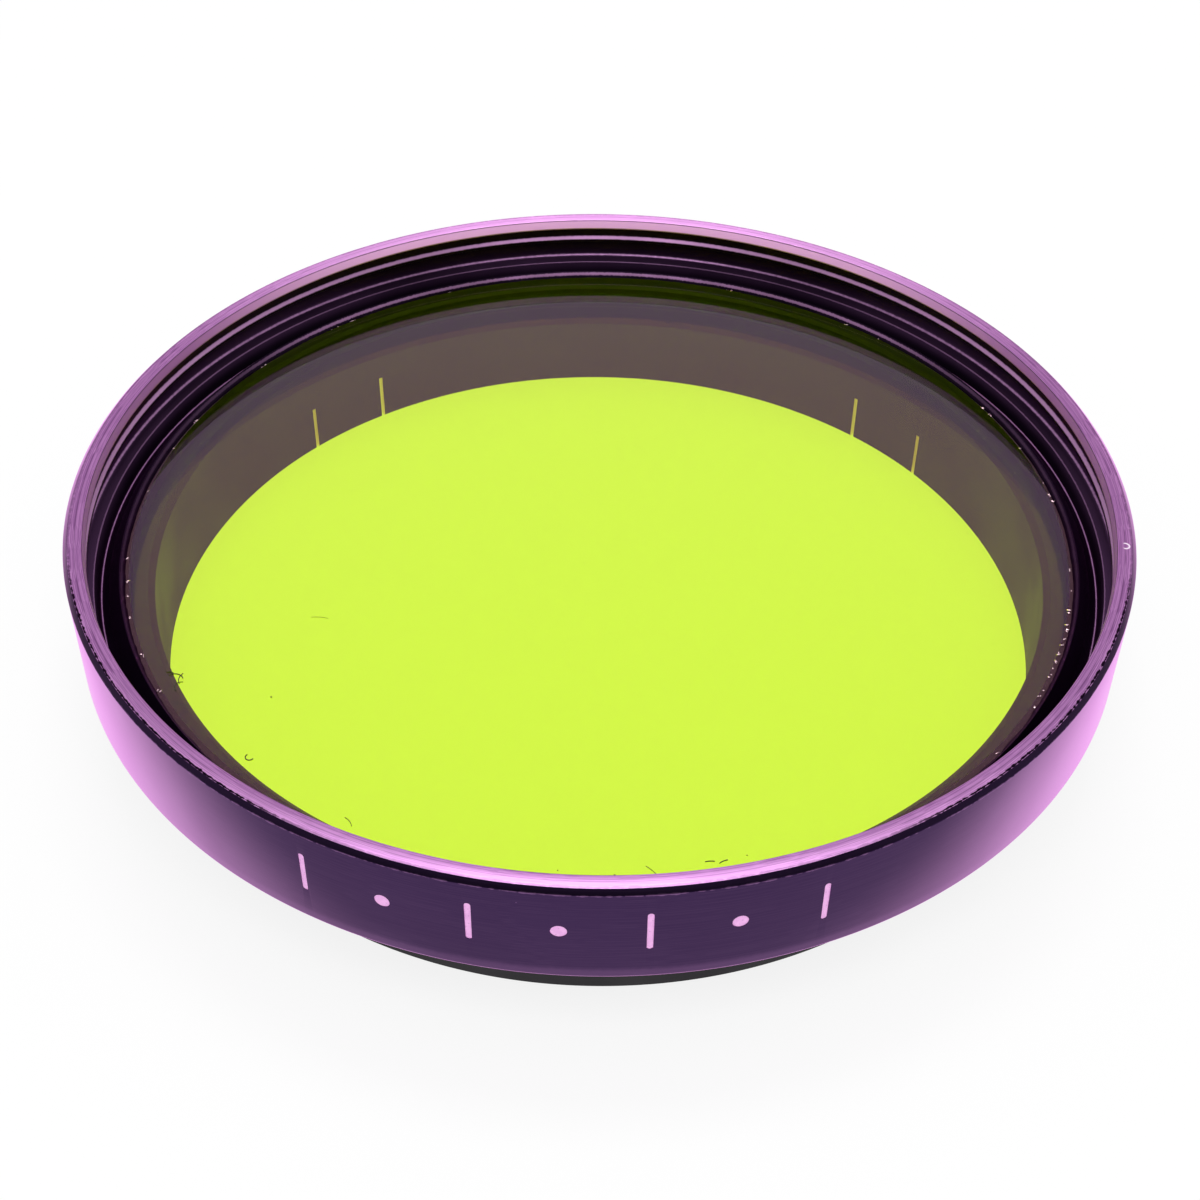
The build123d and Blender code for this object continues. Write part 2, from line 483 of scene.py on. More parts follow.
def group(name, inputs, outputs):
    """A new node group with number inputs (name and default) and number outputs, and its end sockets."""
    tree = bpy.data.node_groups.new(name, "ShaderNodeTree")
    for label, value in inputs.items():
        socket = tree.interface.new_socket(name=label, in_out="INPUT", socket_type="NodeSocketFloat")
        socket.default_value = value
    for label in outputs:
        tree.interface.new_socket(name=label, in_out="OUTPUT", socket_type="NodeSocketFloat")
    return tree, tree.nodes.new("NodeGroupInput").outputs, tree.nodes.new("NodeGroupOutput").inputs


def placed(tree, effect, **inputs):
    """Place a node group in a material; Edge_Radius=3 sets or links its input Edge Radius."""
    named = {key.replace("_", " "): value for key, value in inputs.items()}
    return add(tree, "Group", named, node_tree=effect).outputs


# %% [markdown]
# ### Where a point lies on a turned part
# Wear and turning lines follow the lathe, so they are drawn by radius, by depth below the rim and by the
# angle round the axis, and not by X, Y and Z. One group works these out from Object coordinates. Radius
# and depth come out in millimetres, and the azimuth in degrees from the near side, positive to the right.

# %% Group: place on the ring
MM_PER_METRE = 1000

place_on_ring, _, ends = group("place_on_ring", {}, ("Radius", "Depth", "Azimuth"))
where = add(place_on_ring, "TexCoord").outputs["Object"]
axes = add(place_on_ring, "SeparateXYZ", {0: where}).outputs
scale = (MM_PER_METRE, MM_PER_METRE, 0)
flat = add(place_on_ring, "VectorMath", {0: where, 1: scale}, operation="MULTIPLY").outputs[0]
length = add(place_on_ring, "VectorMath", {0: flat}, operation="LENGTH").outputs["Value"]
below = maths(place_on_ring, "SUBTRACT", RIM_Z, axes["Z"])
towards_front = maths(place_on_ring, "MULTIPLY", axes["Y"], -1)
angle = maths(place_on_ring, "ARCTAN2", axes["X"], towards_front)
place_on_ring.links.new(length, ends["Radius"])
place_on_ring.links.new(maths(place_on_ring, "MULTIPLY", below, MM_PER_METRE), ends["Depth"])
place_on_ring.links.new(maths(place_on_ring, "DEGREES", angle), ends["Azimuth"])
print("place on the ring gives:", [item.name for item in place_on_ring.interface.items_tree])

# %% [markdown]
# ### Turning lines
# The tool leaves a fine thread of lines round the part, some deeper than others. A noise that is read by
# radius and depth alone gives lines that run right round; a slow noise over the surface is mixed in, so
# that each line fades and comes back as it does where a polishing cloth has touched it.

# %% Group: turning lines
CLOTH_SCALE = 180.0
CLOTH_SWAY = 20

turning_lines, given, ends = group("turning_lines", {"Spacing": 0.05, "Wander": 0.3}, ("Height", "Cloth"))
here = placed(turning_lines, place_on_ring)
cloth = object_noise(turning_lines, CLOTH_SCALE, detail=3.0)
across = maths(turning_lines, "DIVIDE", here["Radius"], given["Spacing"])
down = maths(turning_lines, "DIVIDE", here["Depth"], given["Spacing"])
slow = maths(turning_lines, "MULTIPLY", cloth, given["Wander"])
sway = maths(turning_lines, "MULTIPLY", slow, CLOTH_SWAY)
read = add(turning_lines, "CombineXYZ", {0: across, 1: down, 2: sway})
lines = add(turning_lines, "TexNoise", {"Vector": read.outputs[0], "Scale": 1.0, "Detail": 2.0})
turning_lines.links.new(lines.outputs["Fac"], ends["Height"])
turning_lines.links.new(cloth, ends["Cloth"])

# %% [markdown]
# ### Edges and bands
# A corner of the section is a point in radius and depth, so the distance to it tells how near a place is
# to that edge. A noise added to the distance makes the mask ragged. The mask draws wear, the paler band
# at the wall's foot, and the painted highlights along the edges of the front. The second group is a soft
# window on any value, for lines and bands that run round the part. Wear could be painted by hand on an
# unrolled picture, but a place, a reach and a raggedness are quicker to read and to change.

# %% Groups: edge mask, soft band
RAGGED_SCALE = 4.0
FULLY_WORN = 0.4
EDGE_MASK_INPUTS = {
    "Radius": 0.0, "Depth": 0.0, "Edge Radius": 30.0, "Edge Depth": 0.0,
    "Reach": 0.1, "Raggedness": 0.1, "Grain": 0.2,
}
BAND_INPUTS = {"Value": 0.0, "Low": 0.0, "High": 1.0, "Blur": 0.05}

edge_mask, given, ends = group("edge_mask", EDGE_MASK_INPUTS, ("Mask",))
aside = maths(edge_mask, "SUBTRACT", given["Radius"], given["Edge Radius"])
beneath = maths(edge_mask, "SUBTRACT", given["Depth"], given["Edge Depth"])
offset = add(edge_mask, "CombineXYZ", {0: aside, 1: beneath})
distance = add(edge_mask, "VectorMath", {0: offset.outputs[0]}, operation="LENGTH").outputs["Value"]
fineness = maths(edge_mask, "DIVIDE", MM_PER_METRE, given["Grain"])
rough = object_noise(edge_mask, fineness, detail=4.0)
uneven = maths(edge_mask, "MULTIPLY", maths(edge_mask, "SUBTRACT", rough, 0.5), RAGGED_SCALE)
uneven = maths(edge_mask, "MULTIPLY", uneven, given["Raggedness"])
distance = maths(edge_mask, "ADD", distance, uneven)
inner = maths(edge_mask, "MULTIPLY", given["Reach"], FULLY_WORN)
edge_mask.links.new(ramped(edge_mask, distance, inner, given["Reach"], 1.0, 0.0), ends["Mask"])

soft_band, given, ends = group("soft_band", BAND_INPUTS, ("Mask",))
rise = ramped(soft_band, given["Value"], maths(soft_band, "SUBTRACT", given["Low"], given["Blur"]),
              maths(soft_band, "ADD", given["Low"], given["Blur"]))
fall = ramped(soft_band, given["Value"], maths(soft_band, "SUBTRACT", given["High"], given["Blur"]),
              maths(soft_band, "ADD", given["High"], given["Blur"]), 1.0, 0.0)
soft_band.links.new(maths(soft_band, "MULTIPLY", rise, fall), ends["Mask"])


def edge_mask_at(tree, here, edge, reach, raggedness, grain):
    """The mask along an edge, given by its radius and depth, with all sizes in millimetres, for wear and
    painted highlights.
    """
    return placed(tree, edge_mask, Radius=here["Radius"], Depth=here["Depth"], Edge_Radius=edge[0],
                  Edge_Depth=edge[1], Reach=reach, Raggedness=raggedness, Grain=grain)["Mask"]


def band(tree, value, low, high, blur):
    """The mask of a soft window on a value."""
    return placed(tree, soft_band, Value=value, Low=low, High=high, Blur=blur)["Mask"]


print("worn edge takes:", list(EDGE_MASK_INPUTS), "and soft band takes:", list(BAND_INPUTS))

# %% [markdown]
# ### Specks
# Dust and pinholes are round and lie far apart. A Voronoi texture measures the distance to the nearest of
# many scattered points, and only the points whose own random number is low enough carry a speck.

# %% Group: specks
SPECK_INPUTS = {"Spacing": 1.0, "Size": 0.1, "Share": 0.3}
SPECK_CORE = 0.5

specks, given, ends = group("specks", SPECK_INPUTS, ("Mask",))
cells = add(specks, "TexVoronoi", {"Vector": add(specks, "TexCoord").outputs["Object"],
                                   "Scale": maths(specks, "DIVIDE", MM_PER_METRE, given["Spacing"])})
chosen = add(specks, "SeparateColor", {0: cells.outputs["Color"]}).outputs[0]
kept = maths(specks, "LESS_THAN", chosen, given["Share"])
near = maths(specks, "DIVIDE", given["Size"], given["Spacing"])
core = maths(specks, "MULTIPLY", near, SPECK_CORE)
round_spot = ramped(specks, cells.outputs["Distance"], core, near, 1.0, 0.0)
specks.links.new(maths(specks, "MULTIPLY", round_spot, kept), ends["Mask"])
print("node groups:", sorted(tree.name for tree in bpy.data.node_groups))

# %% [markdown]
# ## Outer wall
# The wall is dyed a deep purple in its anodised skin. Seen straight on it is nearly black, and where the
# eye grazes it the skin shines pale pink. A dark metal alone stays too dark there, and the shader's own
# sheen adds too little, so Layer Weight turns the colour pale pink towards grazing angles: a painted
# sheen, colour that stands in for the bright room mirrored there. Fine turning lines, a paler band along
# the foot edge, a few pale nicks at the rim edge and a little dust keep the surface from being one flat
# colour. The rim chamfer is painted nearly black, a painted shade.

# %% Wall material
WALL_TONE = (0.046, 0.022, 0.076, 1)
WALL_RUBBED = (0.070, 0.036, 0.100, 1)
# The pale pink of the painted sheen at grazing angles
WALL_PAINTED_SHEEN = (1.0, 0.47, 1.0, 1)
SHEEN_START, SHEEN_FULL = 0.47, 0.98
PALE_EDGE = (0.62, 0.30, 0.66, 1)
WALL_LINES, WALL_LINES_SHARE = (0.35, 0.7), 0.5
FOOT_PALE_SHARE, NICK_WEAR, DUST_SHOWN = 0.1, 0.25, 0.2
UNDERSIDE_EDGE = (BODY_R / MM, (RIM_Z - COLLAR_LENGTH) / MM - UNDERSIDE_CHAMFER / MM)
RIM_EDGE = (BODY_R / MM, RIM_CHAMFER / MM)
# Painted shade on the rim chamfer
CHAMFER_PAINTED_SHADE = (0.008, 0.004, 0.012, 1)
CHAMFER_DEPTHS, CHAMFER_SHARE = (0.20, 0.26), 0.8
CLOTH_RANGE = (0.3, 0.7)
METAL_ROUGHNESS = (0.36, 0.44)
LINE_DEPTH = 0.01 * MM

wall_metal, tree = material("purple_anodised_wall")
here = placed(tree, place_on_ring)
lines = placed(tree, turning_lines, Spacing=0.06, Wander=0.4)
# The wall turns paler towards its lower edge; the few pale nicks at the rim edge are wear
pale_foot_band = edge_mask_at(tree, here, UNDERSIDE_EDGE, reach=0.75, raggedness=0.04, grain=0.3)
nicks = edge_mask_at(tree, here, RIM_EDGE, reach=0.04, raggedness=0.07, grain=0.4)
dust = placed(tree, specks, Spacing=1.3, Size=0.05, Share=0.25)
rubbed = ramped(tree, lines["Height"], *WALL_LINES, 0.0, WALL_LINES_SHARE)
tone = mixed(tree, rubbed, WALL_TONE, WALL_RUBBED)
for mask, share in ((pale_foot_band, FOOT_PALE_SHARE), (nicks, NICK_WEAR), (dust["Mask"], DUST_SHOWN)):
    tone = mixed(tree, maths(tree, "MULTIPLY", mask, share), tone, PALE_EDGE)
# Painted shade: the rim chamfer is painted nearly black
chamfer = ramped(tree, here["Depth"], *CHAMFER_DEPTHS, CHAMFER_SHARE, 0.0)
tone = mixed(tree, chamfer, tone, CHAMFER_PAINTED_SHADE)
# Painted sheen: towards grazing angles the colour turns pale pink, standing in for the bright room mirrored
# there
grazing = add(tree, "LayerWeight", {"Blend": 0.5}).outputs["Facing"]
tone = mixed(tree, ramped(tree, grazing, SHEEN_START, SHEEN_FULL), tone, WALL_PAINTED_SHEEN)
relief = add(tree, "Bump", {"Height": lines["Height"], "Strength": 0.15, "Distance": LINE_DEPTH})
shader = add(tree, "BsdfPrincipled", {
    "Base Color": tone,
    "Metallic": 1.0,
    "Roughness": ramped(tree, lines["Cloth"], *CLOTH_RANGE, *METAL_ROUGHNESS),
    "Specular Tint": (1.0, 0.8, 1.0, 1),
    "Normal": relief.outputs[0],
})
show(tree, shader)
print("wall:", len(tree.nodes), "nodes")

# %% [markdown]
# ## Rim face and front bore
# Handling has rubbed the rim face to a paler purple, and the tool's lines still show. They spread a
# highlight across themselves: where the lines run from side to side, at the near and the far rim, the face
# shines under the lamp overhead, and at the sides it stays dim. An anisotropic metal does this; its
# tangent runs round the axis, and a quarter turn lays the wide spread across the lines. The near and the
# far rim are also painted paler, a painted highlight, and so is the mouth towards the far side. Below the
# mouth the skin is painted almost black, a painted shade of the deep grooves, with a painted half-lit band
# around the shoulder. The pale edges of the grooves and of the lip are part wear and part painted
# highlight: each is given by its corner of the section, with its reach in millimetres and its strength.
# Where that mask is full, the shader is less of a metal, as a rubbed skin is rough and scatters light.
# Radii and depths are in millimetres, azimuths in degrees.

# %% Front material: colours and places
RIM_TONE = (0.20, 0.073, 0.22, 1)
RIM_PALE = (0.90, 0.46, 0.90, 1)
# Painted highlight on the far side of the mouth
MOUTH_FAR_HIGHLIGHT = (1.0, 0.50, 1.0, 1)
MOUTH_DULL = (0.34, 0.12, 0.38, 1)
# Painted light and painted shade below the mouth
HALF_LIT = (0.060, 0.027, 0.070, 1)
GROOVE_PAINTED_SHADE = (0.012, 0.006, 0.016, 1)
# The colour of the dark lines on the face; the inner one is painted shade
FACE_LINE_DARK = (0.004, 0.002, 0.006, 1)

RIM_LINES, RIM_LINES_SHARE = (0.3, 0.7), 0.35
# Painted highlights on the near and the far rim
NEAR_HIGHLIGHT_AZIMUTHS, NEAR_HIGHLIGHT_SHARES = (8, 62), (0.42, 0.05)
OUTER_HALF_RADII = (29.1, 29.4)
FAR_AZIMUTHS, FAR_HIGHLIGHT_SHARE = (110, 155), 0.5
MOUTH_BAND = (0.05, 0.56, 0.04)
BELOW_MOUTH = (0.55, 0.68)
HALF_LIT_BAND = (2.4, 3.6, 0.5)
HALF_LIT_RADII = (28.55, 28.75)
# Pale corners: part wear, part painted highlight
WORN_AND_HIGHLIT_CORNERS = {
    "ridge flank": (29.03, 1.42, 0.16, 0.48),
    "relief fillet": (29.58, 3.12, 0.16, 0.55),
    "shoulder edge": (28.80, 3.20, 0.08, 0.18),
    "groove bottom": (28.55, 4.18, 0.09, 0.42),
}
LIP_EDGE, LIP_EDGE_REACH = (27.30, 3.24), 0.13
# The lip's edge, paler towards the far side: part wear, part painted highlight
LIP_PALE_NEAR, LIP_PALE_FAR = 0.05, 0.34

FACE_DEPTHS = (0.05, 0.1)
OUTER_LINE, OUTER_LINE_SHARE = (29.33, 29.37, 0.015), 0.35
# The inner line is painted shade at the mouth's edge
INNER_SHADE_LINE, INNER_SHADE_SHARE = (28.90, 28.95, 0.015), 0.6
CHIPPED_EDGE = (29.68, 0.0)
CHIPPED_AZIMUTHS = (30, 74, 6)
CHIPPED_LEAST, CHIPPED_MOST = 0.30, 1.0

NICK_AZIMUTH, NICK_RADIUS = 80, 29.35
NICK_CRESCENT = (0.18, 0.27, 0.04)
NICK_RADII = (29.2, 29.35)
NICK_BRIGHT = (1.0, 0.85, 1.0, 1)
print("worn corners:", sorted(WORN_AND_HIGHLIT_CORNERS))

# %% Front material: rubbed face, edge wear and painted light
front_metal, tree = material("purple_front_wear_and_painted_light")
here = placed(tree, place_on_ring)
lines = placed(tree, turning_lines, Spacing=0.05, Wander=0.5)
rubbed = ramped(tree, lines["Height"], *RIM_LINES, 0.0, RIM_LINES_SHARE)
tone = mixed(tree, rubbed, RIM_TONE, RIM_PALE)
aside = maths(tree, "ABSOLUTE", here["Azimuth"])
# Painted highlight: the outer half of the near rim is painted paler
near_highlight = ramped(tree, aside, *NEAR_HIGHLIGHT_AZIMUTHS, *NEAR_HIGHLIGHT_SHARES)
outer_half_highlight = maths(tree, "MULTIPLY", ramped(tree, here["Radius"], *OUTER_HALF_RADII), near_highlight)
tone = mixed(tree, outer_half_highlight, tone, RIM_PALE)
# Painted highlight: the far rim is painted paler
towards_far = ramped(tree, aside, *FAR_AZIMUTHS)
tone = mixed(tree, maths(tree, "MULTIPLY", towards_far, FAR_HIGHLIGHT_SHARE), tone, RIM_PALE)
# Painted shade and light: below the mouth the front is painted near black, with a half-lit band around the
# shoulder
half_lit = band(tree, here["Depth"], *HALF_LIT_BAND)
half_lit = maths(tree, "MULTIPLY", half_lit, ramped(tree, here["Radius"], *HALF_LIT_RADII))
groove = mixed(tree, half_lit, GROOVE_PAINTED_SHADE, HALF_LIT)
tone = mixed(tree, ramped(tree, here["Depth"], *BELOW_MOUTH), tone, groove)
# Pale edges of the grooves and of the lip: part wear, part painted highlight
worn_and_highlit = 0.0
for radius, depth, reach, strength in WORN_AND_HIGHLIT_CORNERS.values():
    edge = edge_mask_at(tree, here, (radius, depth), reach, raggedness=0.015, grain=0.25)
    worn_and_highlit = maths(tree, "MAXIMUM", worn_and_highlit, maths(tree, "MULTIPLY", edge, strength))
lip_edge = edge_mask_at(tree, here, LIP_EDGE, LIP_EDGE_REACH, raggedness=0.03, grain=0.15)
lip_pale_share = ramped(tree, towards_far, 0.0, 1.0, LIP_PALE_NEAR, LIP_PALE_FAR)
worn_and_highlit = maths(tree, "MAXIMUM", worn_and_highlit, maths(tree, "MULTIPLY", lip_edge, lip_pale_share))
tone = mixed(tree, worn_and_highlit, tone, RIM_PALE)
# The mouth is painted pale, part wear and part painted highlight, brightest towards the far side
mouth = band(tree, here["Depth"], *MOUTH_BAND)
tone = mixed(tree, mouth, tone, mixed(tree, towards_far, MOUTH_DULL, MOUTH_FAR_HIGHLIGHT))
worn_and_highlit = maths(tree, "MAXIMUM", worn_and_highlit, mouth)

# %% Front material: dark lines on the face
on_face = ramped(tree, here["Depth"], *FACE_DEPTHS, 1.0, 0.0)
outer_line = maths(tree, "MULTIPLY", band(tree, here["Radius"], *OUTER_LINE), OUTER_LINE_SHARE)
# Painted shade: the inner dark line at the mouth's edge; the outer line and the chipped stretch are dark
# marks
inner_shade_line = maths(tree, "MULTIPLY", band(tree, here["Radius"], *INNER_SHADE_LINE), INNER_SHADE_SHARE)
dark = maths(tree, "MAXIMUM", outer_line, inner_shade_line)
chipped = edge_mask_at(tree, here, CHIPPED_EDGE, reach=0.07, raggedness=0.06, grain=0.3)
chipped_stretch = band(tree, aside, *CHIPPED_AZIMUTHS)
chipped_share = ramped(tree, chipped_stretch, 0.0, 1.0, CHIPPED_LEAST, CHIPPED_MOST)
dark = maths(tree, "MAXIMUM", dark, maths(tree, "MULTIPLY", chipped, chipped_share))
tone = mixed(tree, maths(tree, "MULTIPLY", dark, on_face), tone, FACE_LINE_DARK)

# %% Front material: one bright nick, and the metal
knock = turned_to(NICK_AZIMUTH - 90, NICK_RADIUS * MM, RIM_Z).translation
where = add(tree, "TexCoord").outputs["Object"]
from_knock = add(tree, "VectorMath", {0: where, 1: knock}, operation="DISTANCE").outputs["Value"]
from_knock = maths(tree, "DIVIDE", from_knock, MM)
crescent = band(tree, from_knock, *NICK_CRESCENT)
crescent = maths(tree, "MULTIPLY", crescent, ramped(tree, here["Radius"], *NICK_RADII))
tone = mixed(tree, crescent, tone, NICK_BRIGHT)
relief = add(tree, "Bump", {"Height": lines["Height"], "Strength": 0.25, "Distance": LINE_DEPTH})
round_axis = add(tree, "Tangent", direction_type="RADIAL", axis="Z")
shader = add(tree, "BsdfPrincipled", {
    "Base Color": tone,
    "Metallic": ramped(tree, worn_and_highlit, 0.0, 1.0, 1.0, 0.0),
    "Roughness": ramped(tree, lines["Cloth"], *CLOTH_RANGE, *METAL_ROUGHNESS),
    "Specular Tint": (1.0, 0.6, 1.0, 1),
    "Anisotropic": 0.7,
    "Anisotropic Rotation": 0.25,
    "Normal": relief.outputs[0],
    "Tangent": round_axis.outputs[0],
})
show(tree, shader)
print("front:", len(tree.nodes), "nodes")

# %% [markdown]
# ## Which faces take which finish
# The ring has its finishes by place: the outer wall and the underside have the dyed skin, and everything
# that faces the front inside the rim's chamfer has the front's finish. The seat and the inside of the
# collar are black, so that they throw no stray light on the film, and the collar's outside is black as
# well. The saw left the walls of its slits bright. Each face could be picked by hand, but its place and
# the way it faces say the same.

# %% Saw slit and black bore
SAWN_DULL, SAWN_BRIGHT = (0.85, 0.62, 1.0, 1), (1.0, 0.85, 1.0, 1)
BORE_DEEP, BORE_RUBBED = (0.007, 0.005, 0.009, 1), (0.011, 0.007, 0.013, 1)
BORE_ROUGHNESS = (0.45, 0.6)

sawn_metal, tree = material("sawn_slit")
saw_marks = placed(tree, turning_lines, Spacing=0.04, Wander=0.2)
show(tree, add(tree, "BsdfPrincipled", {
    "Base Color": mixed(tree, saw_marks["Height"], SAWN_DULL, SAWN_BRIGHT),
    "Metallic": 1.0,
    "Roughness": 0.4,
}))

black_bore, tree = material("blackened_bore")
lines = placed(tree, turning_lines, Spacing=0.08, Wander=0.4)
show(tree, add(tree, "BsdfPrincipled", {
    "Base Color": mixed(tree, lines["Height"], BORE_DEEP, BORE_RUBBED),
    "Roughness": ramped(tree, lines["Cloth"], *CLOTH_RANGE, *BORE_ROUGHNESS),
    "Specular IOR Level": 0.25,
}))
print("materials so far:", sorted(made.name for made in bpy.data.materials))

# %% Share out the ring's materials
FACES_SIDEWAYS = 0.8
FACES_OUTWARDS = 0.3
WALL_SLOT, FRONT_SLOT, SAWN_SLOT, BORE_SLOT = range(4)
# Each limit of the front lies a little past its edge, so that the edge's broken corner is on one side
FRONT_R = BODY_R - RIM_CHAMFER * 1.02
FRONT_LOW_Z = GLASS_TOP_Z - MOAT_DEPTH * 1.2

ring.data.materials.clear()
for finish in (wall_metal, front_metal, sawn_metal, black_bore):
    ring.data.materials.append(finish)


def finish_of(face):
    """The slot of the finish that a face of the ring takes, by its place and the way it faces."""
    outwards = Vector((face.center.x, face.center.y, 0))
    radius = outwards.length
    outwards.normalize()
    sideways = abs(face.normal.dot(outwards.cross(Vector((0, 0, 1)))))
    if radius < COLLAR_R and face.center.z < SLIT_HEIGHT and sideways > FACES_SIDEWAYS:
        return SAWN_SLOT
    if radius < COLLAR_R + AIR and face.center.z < COLLAR_LENGTH - AIR:
        return BORE_SLOT
    in_seat = radius < SEAT_R + AIR and face.center.z < BEVEL_FOOT_Z
    if in_seat and face.normal.dot(outwards) < FACES_OUTWARDS:
        return BORE_SLOT
    if radius < FRONT_R and face.center.z > FRONT_LOW_Z:
        return FRONT_SLOT
    return WALL_SLOT


for face in ring.data.polygons:
    face.material_index = finish_of(face)
print("faces by finish:", [sum(f.material_index == i for f in ring.data.polygons) for i in range(4)])

# %% [markdown]
# ## Coated glass and its ground edge
# The flats are polished and carry a coating that reflects a little purple and lets the rest through, so
# the glass has a purple Specular Tint. Light in a shadow ray takes the glass's colour from a Transparent
# shader, or the disc would throw a black shadow. The edge and the lower bevel are ground and blackened,
# because a clear edge would shine with the light of the whole disc. The upper bevel is ground too, and
# paler, with brighter specks of grit.

# %% Glass materials
GLASS_TONE = (0.66, 0.885, 0.02, 1)
GLASS_DUST = (0.1, 0.12, 0.02, 1)
DUST_ON_GLASS = 0.4
SMEAR_RANGE, SMEAR_HAZE = (0.55, 0.75), 0.02
HAZE_ROUGHNESS = 0.3
GROUND_DARK, GROUND_PALE = (0.004, 0.005, 0.003, 1), (0.17, 0.08, 0.11, 1)
GLASS_TOP_DEPTH = (RIM_Z - GLASS_TOP_Z) / MM
BEVEL_FOOT_DEPTHS = (GLASS_TOP_DEPTH + 0.3, GLASS_TOP_DEPTH + 0.4)
GRIT_SHARES = (0.55, 1.0)
FLAT_FACING = 0.99

green, tree = material("coated_green_glass")
smears = ramped(tree, object_noise(tree, scale=90.0, detail=4.0), *SMEAR_RANGE, 0.0, SMEAR_HAZE)
dust = placed(tree, specks, Spacing=2.2, Size=0.035, Share=0.2)
haze = maths(tree, "MAXIMUM", smears, dust["Mask"])
dusty = maths(tree, "MULTIPLY", dust["Mask"], DUST_ON_GLASS)
shader = add(tree, "BsdfPrincipled", {
    "Base Color": mixed(tree, dusty, GLASS_TONE, GLASS_DUST),
    "Roughness": maths(tree, "MULTIPLY", haze, HAZE_ROUGHNESS),
    "IOR": 1.52,
    "Transmission Weight": 1.0,
    "Specular Tint": (0.75, 0.02, 1.0, 1),
})
through = add(tree, "BsdfTransparent", {"Color": GLASS_TONE})
path = add(tree, "LightPath")
show(tree, add(tree, "MixShader", {
    0: path.outputs["Is Shadow Ray"], 1: shader.outputs[0], 2: through.outputs[0],
}))

ground_edge, tree = material("ground_glass_edge")
here = placed(tree, place_on_ring)
grit = placed(tree, specks, Spacing=0.12, Size=0.05, Share=0.5)
upper = ramped(tree, here["Depth"], *BEVEL_FOOT_DEPTHS, 1.0, 0.0)
pale = maths(tree, "MULTIPLY", upper, ramped(tree, grit["Mask"], 0.0, 1.0, *GRIT_SHARES))
show(tree, add(tree, "BsdfPrincipled", {
    "Base Color": mixed(tree, pale, GROUND_DARK, GROUND_PALE),
    "Roughness": 0.5,
}))

glass.data.materials.append(green)
glass.data.materials.append(ground_edge)
for face in glass.data.polygons:
    face.material_index = 0 if abs(face.normal.z) > FLAT_FACING else 1
print("glass faces that are ground:", sum(face.material_index for face in glass.data.polygons))

# %% [markdown]
# ## The paint's finish
# The marks hold a pale pink paint, dull and a little pitted, as paint is that was wiped into engraving and
# has aged. A plain colour would look like plastic, so a fine noise mottles it and raises it a little, and
# small dark specks stand for its pits.

# %% Paint material
PAINT_PALE, PAINT_DULL = (0.98, 0.50, 0.92, 1), (0.90, 0.44, 0.86, 1)
MOTTLING_RANGE = (0.35, 0.65)
PIT_TONE, PIT_SHARE = (0.35, 0.16, 0.38, 1), 0.35

pink, tree = material("pale_pink_paint")
mottling = object_noise(tree, scale=2500.0, detail=3.0)
pits = placed(tree, specks, Spacing=0.14, Size=0.05, Share=0.25)
paint_tone = mixed(tree, ramped(tree, mottling, *MOTTLING_RANGE), PAINT_PALE, PAINT_DULL)
paint_tone = mixed(tree, maths(tree, "MULTIPLY", pits["Mask"], PIT_SHARE), paint_tone, PIT_TONE)
wiped = add(tree, "Bump", {"Height": mottling, "Strength": 0.2, "Distance": LINE_DEPTH})
show(tree, add(tree, "BsdfPrincipled", {
    "Base Color": paint_tone,
    "Roughness": 0.6,
    "Normal": wiped.outputs[0],
}))
paint.data.materials.append(pink)
print("paint:", len(tree.nodes), "nodes")

# %% [markdown]
# ## Burrs on the lip
# Where the rolling tool tore the edge, slivers of bright metal stand on the bevel, most of them at the
# right. They are small flattened spheres. Their azimuths are chosen one by one, because the slivers lie in
# clusters, and a fixed seed gives each azimuth one to three of them with a place, turn and size.

# %% Scatter the burrs
BURR_AZIMUTHS = [
    49.5, 58.5, 60, 61.5, 63.5, 65, 66, 67.5, 69, 70.5, 72, 73, 75.5, 79, 83, 96, 98, 100, 107, 115, 117,
    137.5, 143, 161.5, -59, -65.5, -72, -76, -79, -83, -96, -105, -111.5, -126, -139, -142, -157.5,
]
BURR_COUNTS = (1, 2, 3)
BURR_RADII = (26.93, 27.07)
BURR_SPREAD = (-0.5, 0.5)
BURR_LENGTHS, BURR_WIDTHS, BURR_HEIGHTS = (0.05, 0.17), (0.03, 0.07), (0.03, 0.05)
BURR_LIFT = 0.01 * MM
TORN_DULL, TORN_BRIGHT = (0.7, 0.42, 0.5, 1), (1.0, 0.8, 0.85, 1)
draw = random.Random(7)


def on_ring(azimuth, radius, height):
    """Place in metres for an azimuth in degrees from the near side and a radius in millimetres."""
    turn = math.radians(azimuth)
    return Vector((math.sin(turn) * radius * MM, -math.cos(turn) * radius * MM, height))


burr_mesh = bmesh.new()
burr_count = 0
for azimuth in BURR_AZIMUTHS:
    for _ in range(draw.choice(BURR_COUNTS)):
        radius = draw.uniform(*BURR_RADII)
        height = GLASS_TOP_Z - (radius * MM - (GLASS_R - GLASS_BEVEL)) + BURR_LIFT
        place = Matrix.Translation(on_ring(azimuth + draw.uniform(*BURR_SPREAD), radius, height))
        turn = Matrix.Rotation(draw.uniform(0, math.tau), 4, "Z")
        size = Matrix.Diagonal((draw.uniform(*BURR_LENGTHS) * MM, draw.uniform(*BURR_WIDTHS) * MM,
                                draw.uniform(*BURR_HEIGHTS) * MM, 1))
        bmesh.ops.create_icosphere(burr_mesh, subdivisions=1, radius=1, matrix=place @ turn @ size)
        burr_count += 1
burrs = piece("lip_burrs", burr_mesh, smooth_below=20)

